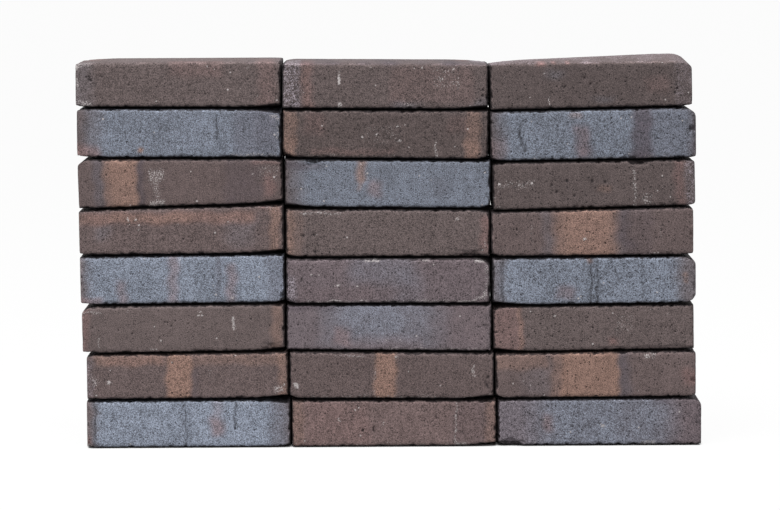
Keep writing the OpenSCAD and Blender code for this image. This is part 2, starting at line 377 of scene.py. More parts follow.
        band("flash", 34, 60, 0.55), Mark("flash", 32, 60, 24, ABOVE, 0.35),
        band("smoke", 61, 68, 0.5), Mark("smoke", 150, 188, 2, 48, 0.3),
        Mark("blush", 190, 200, 10, 32, 0.5), Mark("blush", 180, 206, 42, 48, 0.4),
        Mark("lime", 71, 90, 25, 40, 0.55), Mark("lime", 71, 90, 2, 8, 0.65),
        Mark("lime", 76, 85, 8, 26, 0.5), Mark("lime", 182, 207, 22, 42, 0.36),
        Mark("pit", 165, 205, 24, 46, 0.55), Mark("lime", 184, 206, 44, 48, 0.4),
        *specks((116, 37), (175, 37), (178, 32), (201, 29), (175, 10), (53, 3)),
        *pits((39, 37), (50, 38), (44, 19), (48, 14), (57, 26), (31, 35), (9, 27)),
    ), (Chip(18, 30, -1, 3, 4), Chip(143, 172, -1, 2.5, 3))),
    "brick_course6_middle": Finish(0.82, 0.0, (
        band("ash", 6, 212, 0.35), band("ash", 20, 212, 0.75), Mark("smoke", 0, 37, 40, 48, 0.6),
        Mark("flash", 73, 82, 27, 50, 0.65), Mark("flash", 75, 80, 18, 30, 0.35),
        Mark("blush", 86, 100, 12, 29, 0.35), Mark("smoke", 149, 167, 13, 32, 0.2),
        *specks((42, 44), (65, 33), (137, 34), (77, 46)),
        *pits((4, 31), (8, 27), (5, 24), (202, 32), (170, 19), (165, 15), (200, 22)),
    ), (Chip(20, 38, 43, 60, 5),)),
    "brick_course6_right": Finish(0.8, 0.0, (
        band("blush", 186, 196.5, 0.35), band("crust", 196.5, 209, 0.4),
        Mark("flash", 107, 121, 18, 24, 0.3), Mark("lime", 143, 147, 2, 42, 0.6),
        Mark("lime", 150, 165, 2, 15, 0.45), Mark("lime", 3, 10, 1, 6, 0.5),
        Mark("lime", 4, 45, 22, 33, 0.4), Mark("pit", 55, 120, 12, 34, 0.6),
        *specks((7, 28), (28, 28), (41, 28), (3, 14), (7, 20)),
        *pits((61, 26), (65, 18), (101, 29), (114, 27), (76, 29), (84, 14), (33, 28), (33, 14), (9, 17)),
        *pits((8, 12), (141, 29)),
    ), (Chip(137, 162, 43, 60, 8),)),
    "brick_course7_left": Finish(0.82, 0.0, (
        band("ash", 10, 212, 0.45), band("ash", 26, 212, 0.75), Mark("blush", 2, 24, 2, 14, 0.45),
        spot("flash", 66, 7, 5, 0.9), band("smoke", 160, 206, 0.3),
        Mark("smoke", 182, 209, 8, 50, 0.2), Mark("seam_and_joint_shade", 142.5, 144.5, 20, 46, 0.7),
        Mark("seam_and_joint_shade", 145, 148, 9, 19, 0.35), Mark("seam_and_joint_shade", 149, 152, 2, 9, 0.35),
        Mark("lime", 195, 207, 40, 46, 0.6), Mark("lime", 203, 208, 18, 42, 0.4),
        Mark("lime", 155, 206, 2, 6, 0.45),
        *pits((143.5, 20), (43, 18), (52, 17), (65, 26), (59, 35), (80, 39), (134, 25), (170, 30)),
        *pits((191, 39), (195, 5)),
    )),
    "brick_course7_middle": Finish(0.71, 0.01, (
        band("flash", 0, 14, 0.4), Mark("flash", 0, 14, 0, 22, 0.35), band("flash", 187, 201, 0.35),
        Mark("flash", 186, 201, 0, 20, 0.35), Mark("blush", 168, 190, 27, 44, 0.15),
        Mark("blush", 22, 42, 24, 46, 0.2), Mark("blush", 30, 115, 4, 10, 0.2),
        Mark("pit", 74, 94, 4, 8, 0.6), Mark("lime", 154.5, 158, 4, 22, 0.6),
        Mark("lime", 80, 124, 14, 36, 0.3), foot_film(0.35),
        *specks((96, 25), (113, 25), (117, 33), (81, 23), (86, 40), (125, 35), (119, 18), (156, 5)),
        *pits((42, 30), (73, 31), (149, 33), (121, 28), (201, 5), (183, 9), (67, 22)),
    )),
    "brick_course7_right": Finish(0.75, -0.02, (
        band("ash", 5, 206, 0.4), band("ash", 16, 204, 0.75), Mark("blush", 0, 17, 0, 24, 0.2),
        Mark("blush", 87, 101, 3, 35, 0.22), Mark("smoke", 86, 102, 0, 36, 0.42),
        Mark("flash", 81, 93, 42, 48, 0.3), Mark("smoke", 92, 106, 4, 16, 0.3),
        band("smoke", 145, 165, 0.75), band("smoke", 166, 209, 0.2),
        Mark("smoke", 141, 169, 0, 11, 0.5), Mark("seam_and_joint_shade", 28.5, 31, 24, 33, 0.8),
        Mark("seam_and_joint_shade", 30.5, 33.5, 16, 25, 0.8), Mark("seam_and_joint_shade", 33, 36, 9, 17, 0.7),
        Mark("seam_and_joint_shade", 202, 205, 28, 35, 0.7), foot_film(0.35), *specks((144, 43)),
        *pits((21, 10), (78, 18), (57, 7), (117, 34), (169, 20), (126, 5), (133, 6), (197, 15)),
    ), (Chip(203, 214, 28, 34, 5),)),
    "brick_course8_left": Finish(0.9, 0.0, (
        Mark("ash", 0, 18, 0, 50, 0.1), band("blush", 186, 204, 0.22),
        Mark("blush", 96, 150, 32, 46, 0.2), crest("smoke", 0.35), crest("lime", 0.25),
        Mark("lime", 0, 4, 3, 44, 0.45), Mark("lime", 2, 18, 40, 46, 0.55),
        Mark("lime", 3, 18, 1, 8, 0.6),
        *specks((134, 42.5), (142, 40), (176, 42.5), (83, 7), (146, 9), (185, 12), (206, 9)),
        Mark("pit", 10, 34, 20, 36, 0.3), Mark("pit", 20, 150, 6, 34, 0.2),
        *pits((12.5, 30.5), (15.5, 31), (14, 28), (16.5, 27.5)),
        *pits((27, 33), (56, 25), (117, 24), (175, 30), (134, 15), (204, 40), (204, 15)),
    )),
    "brick_course8_middle": Finish(0.86, 0.0, (
        band("crust", 0, 18.5, 0.65), band("blush", 20, 31, 0.35),
        # The whole top is darkened with the pit colour, through the channel of the fine dark lines.
        Mark("flash", 22, 29, 2, 44, 0.12), crest("smoke", 1.0), crest("seam_and_joint_shade", 0.42),
        Mark("ash", 194, 208, 2, 11, 0.15), Mark("ash", 116, 140, 2, 9, 0.2),
        Mark("blush", 110, 195, 6, 44, 0.14), Mark("lime", 57, 60, 23, 38, 0.9),
        Mark("lime", 56, 61, 2, 8, 0.8), Mark("lime", 152, 182, 20, 45, 0.35),
        Mark("lime", 122, 136, 3, 8, 0.5),
        *specks((163, 32), (134, 42), (90, 43), (142, 43), (175, 42.5)),
        Mark("pit", 196, 208, 6, 26, 0.5),
        *pits((45, 32), (26, 24), (24, 11), (165, 41), (146, 28), (203, 14), (205, 20), (201, 9)),
    )),
    "brick_course8_right": Finish(0.74, 0.0, (
        band("crust", 188, 209, 0.2), Mark("pit", 184, 207, 5, 44, 0.5),
        Mark("ash", 57, 74, 31, 40, 0.18), Mark("ash", 106, 124, 7, 13, 0.18),
        Mark("blush", 158, 182, 16, 32, 0.15), Mark("blush", 48, 56, 44, 52, 0.8),
        spot("blush", 65, 49, 4, 0.8), spot("blush", 79, 49, 4, 0.8), crest("crust", 0.5),
        crest("blush", 0.2), Mark("pit", 73, 118, 15, 42, 0.55), Mark("lime", 60, 61.5, 3, 15, 0.8),
        *specks((55, 36), (15, 34), (3, 3)),
        *pits((96, 33), (76, 22), (102, 26), (108, 16), (138, 26), (188, 15), (190, 19)),
    )),
}


class Blank(NamedTuple):
    """The plain block that a brick's solid was eased from, in metres."""

    foot: Vector
    lean: float
    length: float
    depth: float
    left_height: float
    right_height: float
    back_rise: float

    def axes(self):
        """The brick's own directions, one to a row."""
        return np.array(leaning_axes(self.lean))

    def height(self, x, y):
        """Height of the block over its bottom at places given from its middle."""
        climb = (self.right_height - self.left_height) * (x / self.length + 0.5)
        return self.left_height + climb + self.back_rise * (y / self.depth + 0.5)


def leaning_axes(lean):
    """Directions along, into and up a brick that leans by an angle, one to a row."""
    return np.array([
        (math.cos(lean), 0.0, math.sin(lean)),
        (0.0, 1.0, 0.0),
        (-math.sin(lean), 0.0, math.cos(lean)),
    ])


MAIN_FACE_TURN = math.radians(12)


def blank_of(node):
    """Reads the block out of a brick's solid: its six main planes, in the brick's own leaning frame."""
    mesh = node.data
    mesh.calc_loop_triangles()
    points = np.array([vertex.co for vertex in mesh.vertices])
    corners = points[np.array([triangle.vertices for triangle in mesh.loop_triangles])]
    doubled = np.cross(corners[:, 1] - corners[:, 0], corners[:, 2] - corners[:, 0])
    areas = np.linalg.norm(doubled, axis=1)
    whole = areas > areas.max() * 1e-9
    normals = doubled[whole] / areas[whole, None]

    def main_normal(direction):
        facing = normals @ direction > math.cos(MAIN_FACE_TURN)
        _, which = np.unique(np.round(normals[facing], 3), axis=0, return_inverse=True)
        largest = np.argmax(np.bincount(which.ravel(), weights=areas[whole][facing]))
        mean = normals[facing][which.ravel() == largest].mean(axis=0)
        return mean / np.linalg.norm(mean)

    end = main_normal(np.array((1.0, 0.0, 0.0)))
    lean = math.atan2(end[2], end[0])
    axes = leaning_axes(lean)
    local = points @ axes.T
    low = local.min(axis=0)
    high = local.max(axis=0)
    top = axes @ main_normal(np.array((0.0, 0.0, 1.0)))
    reach = (local @ top).max()

    def top_at(x, y):
        return (reach - top[0] * x - top[1] * y) / top[2] - low[2]

    foot = np.array(((low[0] + high[0]) / 2, (low[1] + high[1]) / 2, low[2])) @ axes
    return Blank(
        foot=Vector(foot),
        lean=lean,
        length=high[0] - low[0],
        depth=high[1] - low[1],
        left_height=top_at(low[0], low[1]),
        right_height=top_at(high[0], low[1]),
        back_rise=top_at(low[0], high[1]) - top_at(low[0], low[1]),
    )


class Signal:
    """One output of a node. Sums and products of signals add Math nodes to its board."""

    def __init__(self, board, output):
        self.board = board
        self.output = output

    def sibling(self, name):
        return Signal(self.board, self.output.node.outputs[name])

    def __add__(self, other):
        return self.board.math("ADD", self, other)

    def __radd__(self, other):
        return self.board.math("ADD", other, self)

    def __sub__(self, other):
        return self.board.math("SUBTRACT", self, other)

    def __rsub__(self, other):
        return self.board.math("SUBTRACT", other, self)

    def __mul__(self, other):
        return self.board.math("MULTIPLY", self, other)

    def __rmul__(self, other):
        return self.board.math("MULTIPLY", other, self)

    def __truediv__(self, other):
        return self.board.math("DIVIDE", self, other)

    def __pow__(self, other):
        return self.board.math("POWER", self, other)

    def __gt__(self, other):
        return self.board.math("GREATER_THAN", self, other)


class Board:
    """A node tree that is written as calls and expressions."""

    def __init__(self, tree):
        self.tree = tree

    def node(self, kind, settings=None, sockets=None, output=0):
        """Adds a node, its settings first and then the values or links of its sockets."""
        node = self.tree.nodes.new(kind)
        for name, setting in (settings or {}).items():
            setattr(node, name, setting)
        for key, value in (sockets or {}).items():
            if isinstance(key, int):
                socket = node.inputs[key]
            else:
                socket = next(s for s in node.inputs if s.name == key and s.enabled)
            if isinstance(value, Signal):
                self.tree.links.new(value.output, socket)
            else:
                socket.default_value = value
        if not node.outputs:
            return None
        if isinstance(output, int):
            return Signal(self, [s for s in node.outputs if s.enabled][output])
        return Signal(self, node.outputs[output])

    def math(self, operation, *values):
        return self.node("ShaderNodeMath", {"operation": operation}, dict(enumerate(values)))

    def within(self, value, low, high):
        """A value kept from passing two bounds."""
        return self.math("MAXIMUM", self.math("MINIMUM", value, high), low)

    def vector(self, operation, *values):
        return self.node("ShaderNodeVectorMath", {"operation": operation}, dict(enumerate(values)))

    def scaled(self, vector, factor):
        return self.node(
            "ShaderNodeVectorMath", {"operation": "SCALE"}, {"Vector": vector, "Scale": factor}
        )

    def parts(self, vector):
        first = self.node("ShaderNodeSeparateXYZ", sockets={"Vector": vector})
        return first, first.sibling("Y"), first.sibling("Z")

    def joined(self, x, y, z):
        return self.node("ShaderNodeCombineXYZ", sockets={"X": x, "Y": y, "Z": z})

    def smooth(self, value, low, high):
        """0 at low and 1 at high, with a soft start and end."""
        return self.node(
            "ShaderNodeMapRange",
            {"interpolation_type": "SMOOTHSTEP"},
            {"Value": value, "From Min": low, "From Max": high},
        )

    def noise(self, place, size, detail=2.0, roughness=0.5):
        """Cloudy noise whose lumps are about one size across, in the units of the place."""
        return self.node(
            "ShaderNodeTexNoise",
            sockets={"Vector": place, "Scale": 1 / size, "Detail": detail, "Roughness": roughness},
        )

    def cells(self, place, size):
        """Scattered cells: the share of a size to the nearest centre, and two chances of that cell."""
        near = self.node("ShaderNodeTexVoronoi", sockets={"Vector": place, "Scale": 1 / size})
        chance, other, _ = self.parts(near.sibling("Color"))
        return near, chance, other

    def mix(self, factor, first, second):
        return self.node(
            "ShaderNodeMix",
            {"data_type": "RGBA", "clamp_factor": True},
            {"Factor": factor, "A": first, "B": second},
            "Result",
        )


RELIEF_INPUTS = {
    "Solid": "NodeSocketObject",
    "Clay": "NodeSocketMaterial",
    "Seed": "NodeSocketFloat",
    "Foot": "NodeSocketVector",
    "Lean": "NodeSocketFloat",
    "Length": "NodeSocketFloat",
    "Depth": "NodeSocketFloat",
    "Left height": "NodeSocketFloat",
    "Right height": "NodeSocketFloat",
    "Back rise": "NodeSocketFloat",
    "Columns": "NodeSocketInt",
    "Layers": "NodeSocketInt",
    "Rows": "NodeSocketInt",
    "Wear depth": "NodeSocketFloat",
    "Wear reach": "NodeSocketFloat",
    "Ripple": "NodeSocketFloat",
    "Grain": "NodeSocketFloat",
    "Rounding": "NodeSocketInt",
    "Rounding reach": "NodeSocketFloat",
    "Open side": "NodeSocketFloat",
    "Buried": "NodeSocketFloat",
    "Overlaid side": "NodeSocketFloat",
}
RELIEF_NAME = "Brick relief"
CORE_INSET = 8 * MM
# How strongly the grid is drawn to the arrises along the brick, into it and up it
ALONG_CROWDING = 1.1
BACK_CROWDING = 2.0
UP_CROWDING = 1.15
# Depth from which a brick is hidden in the stack, in reaches of the wear
DEEP_REACHES = 4
BITE_SIZE = 7 * MM
BITE_START = 0.47
BITE_FULL = 0.72
RIPPLE_SIZE = 45 * MM
SAND_SIZE = 3.5 * MM
SEED_STEP = Vector((0.37, 0.61, 0.83))
OPEN_SIDES = {"left": -1.0, "middle": 0.0, "right": 1.0}
TOP_COURSE = "course8"
# Bricks whose top right corner lies under a brick of the next column, so that it isn't filled out
OVERLAID = ("course2_middle", "course6_middle")


def relief_tree():
    """Builds the tree that lays a grid over a brick's solid and wears it."""
    tree = bpy.data.node_groups.new(RELIEF_NAME, "GeometryNodeTree")
    for name, kind in RELIEF_INPUTS.items():
        tree.interface.new_socket(name, in_out="INPUT", socket_type=kind)
    tree.interface.new_socket("Brick", in_out="OUTPUT", socket_type="NodeSocketGeometry")
    board = Board(tree)
    given = {name: board.node("NodeGroupInput", output=name) for name in RELIEF_INPUTS}

    def crowded(value, crowding):
        """A share from -1 to 1, drawn towards both ends so that the grid is finest at the arrises."""
        short = 1 - board.math("ABSOLUTE", value)
        return board.math("SIGN", value) * (1 - short ** crowding)

    def stored(geometry, name, kind, value):
        return board.node(
            "GeometryNodeStoreNamedAttribute",
            {"data_type": kind, "domain": "POINT"},
            {"Geometry": geometry, "Name": name, "Value": value},
        )

    def recalled(name, kind):
        return board.node("GeometryNodeInputNamedAttribute", {"data_type": kind}, {"Name": name})

    def leaning(vector):
        return board.node(
            "ShaderNodeVectorRotate",
            {"rotation_type": "AXIS_ANGLE"},
            {"Vector": vector, "Axis": (0, 1, 0), "Angle": 0 - given["Lean"]},
        )

    # The grid, as a block of the brick's own size
    grid = board.node(
        "GeometryNodeMeshCube",
        sockets={
            "Size": (2, 2, 2),
            "Vertices X": given["Columns"],
            "Vertices Y": given["Layers"],
            "Vertices Z": given["Rows"],
        },
    )
    shares = board.parts(board.node("GeometryNodeInputPosition"))
    along = crowded(shares[0], ALONG_CROWDING)
    back = crowded(shares[1], BACK_CROWDING)
    up = crowded(shares[2], UP_CROWDING) * 0.5 + 0.5
    climb = given["Right height"] - given["Left height"]
    height = (
        given["Left height"] + climb * (along * 0.5 + 0.5) + given["Back rise"] * (back * 0.5 + 0.5)
    )
    place = board.joined(along * given["Length"] * 0.5, back * given["Depth"] * 0.5, up * height)
    grid = stored(grid, "place", "FLOAT_VECTOR", place)

    # The grid drawn onto the solid
    solid = board.node(
        "GeometryNodeObjectInfo",
        {"transform_space": "ORIGINAL"},
        {"Object": given["Solid"]},
        "Geometry",
    )
    surface = board.node(
        "GeometryNodeProximity",
        {"target_element": "FACES"},
        {"Geometry": solid, "Sample Position": board.vector("ADD", leaning(place), given["Foot"])},
    )
    brick = board.node("GeometryNodeSetPosition", sockets={"Geometry": grid, "Position": surface})

    # Distance to the nearest arris, and the way from each point into the brick
    kept = recalled("place", "FLOAT_VECTOR")
    x, y, z = board.parts(kept)
    top = given["Left height"] + climb * (x / given["Length"] + 0.5)
    top = top + given["Back rise"] * (y / given["Depth"] + 0.5)
    half_length = given["Length"] * 0.5
    half_depth = given["Depth"] * 0.5
    clear = [
        half_length - board.math("ABSOLUTE", x),
        half_depth - board.math("ABSOLUTE", y),
        board.math("MINIMUM", z, top - z),
    ]
    least = board.math("MINIMUM", clear[0], clear[1])
    most = board.math("MAXIMUM", clear[0], clear[1])
    middling = board.math("MAXIMUM", least, board.math("MINIMUM", most, clear[2]))
    brick = stored(brick, "arris", "FLOAT", middling)
    core = board.joined(
        board.within(x, CORE_INSET - half_length, half_length - CORE_INSET),
        board.within(y, CORE_INSET - half_depth, half_depth - CORE_INSET),
        board.within(z, CORE_INSET, top - CORE_INSET),
    )
    inward = leaning(board.vector("NORMALIZE", board.vector("SUBTRACT", core, kept)))

    # Top corners deep inside the stack filled out, so that the joints let no light through
    deep = board.smooth(clear[1], given["Wear reach"], given["Wear reach"] * DEEP_REACHES)
    hidden = deep * (1 - (x * given["Open side"] > 0))
    block = board.vector("ADD", leaning(kept), given["Foot"])
    missing = board.vector("SUBTRACT", block, board.node("GeometryNodeInputPosition"))
    filled = hidden * given["Buried"] * (z > top * 0.5) * (1 - (x * given["Overlaid side"] > 0))
    brick = board.node(
        "GeometryNodeSetPosition",
        sockets={"Geometry": brick, "Offset": board.scaled(missing, filled)},
    )

    # Arrises rounded by drawing their points together, except deep inside the stack
    edge = recalled("arris", "FLOAT")
    near = 1 - board.smooth(edge, 0.0, given["Wear reach"])
    rounded = board.node(
        "GeometryNodeBlurAttribute",
        {"data_type": "FLOAT_VECTOR"},
        {
            "Value": board.node("GeometryNodeInputPosition"),
            "Iterations": given["Rounding"],
            "Weight": (1 - board.smooth(edge, 0.0, given["Rounding reach"])) * (1 - hidden),
        },
    )
    brick = board.node("GeometryNodeSetPosition", sockets={"Geometry": brick, "Position": rounded})

    # Wear at the arrises, and ripple and grain that leave the ends flat, all cut into the brick
    clay = board.vector("ADD", kept, board.scaled(tuple(SEED_STEP), given["Seed"]))
    bites = board.noise(clay, BITE_SIZE, detail=3.0, roughness=0.6)
    bites = board.smooth(bites, BITE_START, BITE_FULL)
    waves = board.noise(clay, RIPPLE_SIZE)
    sand = board.noise(clay, SAND_SIZE)
    inner = board.smooth(clear[0], 0.0, given["Wear reach"])
    uneven = (given["Ripple"] * waves + given["Grain"] * sand) * inner
    worn = given["Wear depth"] * near * bites * (1 - hidden) + uneven
    brick = board.node(
        "GeometryNodeSetPosition", sockets={"Geometry": brick, "Offset": board.scaled(inward, worn)}
    )
    brick = board.node("GeometryNodeSetShadeSmooth", sockets={"Geometry": brick})
    brick = board.node("GeometryNodeRealizeInstances", sockets={"Geometry": brick})
    brick = board.node("GeometryNodeSetMaterial", sockets={"Geometry": brick, "Material": given["Clay"]})
    board.node("NodeGroupOutput", sockets={"Brick": brick})
    return tree


def relief_grid(name, blank, relief, clay, seed):
    """Runs the tree on one brick's solid and returns the result as an object with a plain mesh."""
    tree = bpy.data.node_groups.get(RELIEF_NAME) or relief_tree()
    keys = {item.name: item.identifier for item in tree.interface.items_tree if item.in_out == "INPUT"}
    brick = bpy.data.objects.new("fired_" + name, bpy.data.meshes.new(name))
    bpy.context.scene.collection.objects.link(brick)
    modifier = brick.modifiers.new("Relief", "NODES")
    modifier.node_group = tree
    values = {
        "Solid": frame["nodes"][name],
        "Clay": clay,
        "Seed": float(seed),
        "Foot": blank.foot,
        "Lean": blank.lean,
        "Length": blank.length,
        "Depth": blank.depth,
        "Left height": blank.left_height,
        "Right height": blank.right_height,
        "Back rise": blank.back_rise,
        "Columns": relief.columns,
        "Layers": relief.layers,
        "Rows": relief.rows,
        "Wear depth": relief.wear_depth,
        "Wear reach": relief.wear_reach,
        "Ripple": relief.ripple,
        "Grain": relief.grain,
        "Rounding": relief.rounding,
        "Rounding reach": relief.rounding_reach,
        "Open side": OPEN_SIDES[name.rsplit("_", 1)[1]],
        "Buried": 0.0 if TOP_COURSE in name else 1.0,
        "Overlaid side": 1.0 if name.endswith(OVERLAID) else 0.0,
    }
    for label, value in values.items():
        modifier[keys[label]] = value
    depsgraph = bpy.context.evaluated_depsgraph_get()
    mesh = bpy.data.meshes.new_from_object(
        brick.evaluated_get(depsgraph), preserve_all_data_layers=True, depsgraph=depsgraph
    )
    mesh.name = brick.name
    brick.modifiers.remove(modifier)
    brick.data = mesh
    return brick


KILN = ("flash", "ash", "smoke", "blush")
BLOOM_AND_JOINT_SHADE = ("lime", "pit", "crust", "seam_and_joint_shade")
SOFT_BORDERS = {
    "flash": 3.6, "ash": 9.0, "smoke": 5.0, "blush": 5.0,
    "lime": 4.0, "pit": 1.2, "crust": 3.0, "seam_and_joint_shade": 1.0,
}
SOFT_SHARE = 0.45
KILN_WANDER = 1.5
BLOOM_WANDER = 0.9
SIDEWAYS_TURNS = ((0.031, 0.12), (-0.057, 0.31))
UPRIGHT_TURNS = ((0.09, 0.033), (0.21, -0.061))
JOINT_TURNS = ((0.23, 0.29), (-0.61, 0.53), (1.37, 0.9))
WAVE_HEIGHT = 1.6
PATCH_REACH = 12
ARRIS_REACH = 2


def smoothstep(share):
    """0 below 0 and 1 above 1, with a soft start and end."""
    share = np.clip(share, 0.0, 1.0)
    return share * share * (3 - 2 * share)


def window(values, low, high, limit, softest):
    """1 between two bounds, with soft borders, and 0 outside. A bound at an arris runs past it."""
    soft = min(softest, SOFT_SHARE * (high - low))
    low = low - PATCH_REACH if low <= ARRIS_REACH else low
    high = high + PATCH_REACH if high >= limit - ARRIS_REACH else high
    return smoothstep((values - low) / (2 * soft) + 0.5) * smoothstep((high - values) / (2 * soft) + 0.5)


def waves(along, up, turns, seed):
    """Slow waves over a face, from about -1 to 1."""
    heights = (
        np.sin(along * turn[0] + up * turn[1] + seed * (1 + i)) for i, turn in enumerate(turns)
    )
    return sum(heights) / WAVE_HEIGHT


def paint(kinds, marks, place, blank, wander, seed):
    """Paints marks on the face and, turned round, on the back, with one channel for each kind."""
    length = blank.length / MM
    depth = blank.depth / MM
    height = blank.left_height / MM
    up = place[:, 2] / MM
    from_left = (place[:, 0] + blank.length / 2) / MM
    from_face = (place[:, 1] + blank.depth / 2) / MM
    bare = np.ones((len(place), len(kinds)))
    for along, behind in ((from_left, from_face), (length - from_left, depth - from_face)):
        along_there = along + wander * waves(along, up, SIDEWAYS_TURNS, seed)
        up_there = up + wander * waves(along, up, UPRIGHT_TURNS, seed)
        for mark in marks:
            if mark.kind in kinds:
                soft = SOFT_BORDERS[mark.kind]
                shown = window(along_there, mark.left, mark.right, length, soft)
                shown = shown * window(up_there, mark.low, mark.high, height, soft)
                reach = depth / 2 if mark.high - mark.low > depth / 2 else PATCH_REACH
                shown = shown * (1 - smoothstep(behind / reach - 0.5))
                bare[:, kinds.index(mark.kind)] *= 1 - mark.amount * shown
    return 1 - bare


# Painted shade along the arrises that face a neighbour, and along the bottom where a brick stands
JOINT_START = 0.6
JOINT_FADE = 1.6
JOINT_DARK = 0.95
JOINT_RAGGED = 0.7


def joint_shade(name, place, blank, seed):
    """Painted shade of the open joints round a brick: how far each point lies in it, from 0 on the faces
    to 1.
    """
    x, y, z = place.T
    clear = [z]
    if TOP_COURSE not in name:
        clear.append(blank.height(x, y) - z)
    if not name.endswith("left"):
        clear.append(x + blank.length / 2)
    if not name.endswith("right"):
        clear.append(blank.length / 2 - x)
    near = np.min(clear, axis=0) / MM + JOINT_RAGGED * waves(x / MM, z / MM, JOINT_TURNS, seed)
    return JOINT_DARK * (1 - smoothstep((near - JOINT_START) / JOINT_FADE))


def into_brick(place, blank):
    """The way from each point of a brick's surface into it, in the brick's own directions."""
    room = np.array((blank.length / 2 - CORE_INSET, blank.depth / 2 - CORE_INSET))
    core = place.copy()
    core[:, :2] = np.clip(place[:, :2], -room, room)
    core[:, 2] = np.clip(place[:, 2], CORE_INSET, blank.height(place[:, 0], place[:, 1]) - CORE_INSET)
    way = core - place
    return way / np.linalg.norm(way, axis=1)[:, None]


def chip_off(local, inward, chip, blank, rough):
    """Moves the points inside a chip's rounded hollow back to its surface."""
    middle = (chip.left + chip.right) / 2 * MM - blank.length / 2
    top = blank.height(middle, -blank.depth / 2)
    low = chip.low * MM
    high = chip.high * MM
    if low <= 0:
        level, tall = 0.0, high
    elif high >= top:
        level, tall = top, top - low
    else:
        level, tall = (low + high) / 2, (high - low) / 2
    centre = np.array((middle, -blank.depth / 2, level))
    radii = np.array(((chip.right - chip.left) / 2 * MM, chip.deep * MM, tall))
    here = (local - centre) / radii
    way = inward / radii
    square = np.sum(way * way, axis=1)
    slope = np.sum(here * way, axis=1)
    inside = rough - np.sum(here * here, axis=1)
    steps = (-slope + np.sqrt(np.maximum(slope * slope + square * inside, 0))) / square
    return local + inward * np.where(inside > 0, steps, 0)[:, None]


RAGGED_DEPTH = 0.13
WAVE_TURNS = np.array([(0.61, 0.23, 0.47), (-0.33, 0.71, 0.58), (0.19, -0.44, 0.93)])


def ragged(place, seed):
    """A rough edge for chips: slow waves through the brick, from about 0.6 to 1.4."""
    return 1 + RAGGED_DEPTH * np.sum(np.sin(place / MM @ WAVE_TURNS.T + seed), axis=1)


def read_attribute(mesh, name, width):
    layer = mesh.attributes[name]
    values = np.empty(len(layer.data) * width, dtype=np.float32)
    layer.data.foreach_get("vector" if width > 1 else "value", values)
    return values.reshape(-1, width).astype(float)


def write_attribute(mesh, name, kind, values):
    layer = mesh.attributes.get(name) or mesh.attributes.new(name, kind, "POINT")
    field = "color" if kind == "FLOAT_COLOR" else "vector"
    layer.data.foreach_set(field, np.ascontiguousarray(values, dtype=np.float32).ravel())


# Where each side of a brick lies on its map: axis and sign of the side, then left, low, wide and tall
MAP_NAME = "OFBake"
MAP_SIDES = (
    (1, -1, 0.01, 0.755, 0.98, 0.235),
    (1, 1, 0.01, 0.51, 0.98, 0.235),
    (2, 1, 0.01, 0.265, 0.485, 0.235),
    (2, -1, 0.505, 0.265, 0.485, 0.235),
    (0, -1, 0.01, 0.015, 0.47, 0.235),
    (0, 1, 0.505, 0.015, 0.47, 0.235),
)


def lay_map(mesh, place, blank):
    """Lays the six sides of a brick flat, face and back at the full width of the map."""
    shares = np.empty_like(place)
    shares[:, 0] = place[:, 0] / (blank.length / 2)
    shares[:, 1] = place[:, 1] / (blank.depth / 2)
    shares[:, 2] = place[:, 2] / blank.height(place[:, 0], place[:, 1]) * 2 - 1
    points = np.empty(len(mesh.loops), dtype=np.int32)
    mesh.loops.foreach_get("vertex_index", points)
    sizes = np.empty(len(mesh.polygons), dtype=np.int32)
    mesh.polygons.foreach_get("loop_total", sizes)
    owner = np.repeat(np.arange(len(sizes)), sizes)
    means = np.stack([np.bincount(owner, shares[points, axis]) / sizes for axis in range(3)], axis=1)
    axis_of = np.argmax(np.abs(means), axis=1)
    sign_of = np.sign(means[np.arange(len(sizes)), axis_of])
    spots = np.zeros((len(points), 2), dtype=np.float32)
    for axis, sign, left, low, wide, tall in MAP_SIDES:
        across, upward = {0: (1, 2), 1: (0, 2), 2: (0, 1)}[axis]
        mine = ((axis_of == axis) & (sign_of == sign))[owner]
        spots[mine, 0] = left + wide * (shares[points[mine], across] + 1) / 2
        spots[mine, 1] = low + tall * (shares[points[mine], upward] + 1) / 2
    mesh.uv_layers.new(name=MAP_NAME).data.foreach_set("uv", spots.ravel())


DRAG_STRETCH = (1.0, 1.0, 0.09)
# Sizes of the clay's patterns, in millimetres
GRAIN_WIDE = 0.95
SAND_WIDE = 3.6
MOTTLE_WIDE = 10.0
CLOUD_WIDE = 42.0
DRAG_WIDE = 2.4
GRIT_WIDE = 1.3
PORE_APART = 3.0
RUB_AND_HIGHLIGHT_WIDE = 22.0
FLECK_WIDE = 1.3
SPECK_APART = 2.6
PIT_APART = 4.4
# Shares of the cells that have no pore, no lime speck and, on plain clay, no pit
NO_PORE = 0.45
NO_SPECK = 0.997
NO_PIT = 0.82


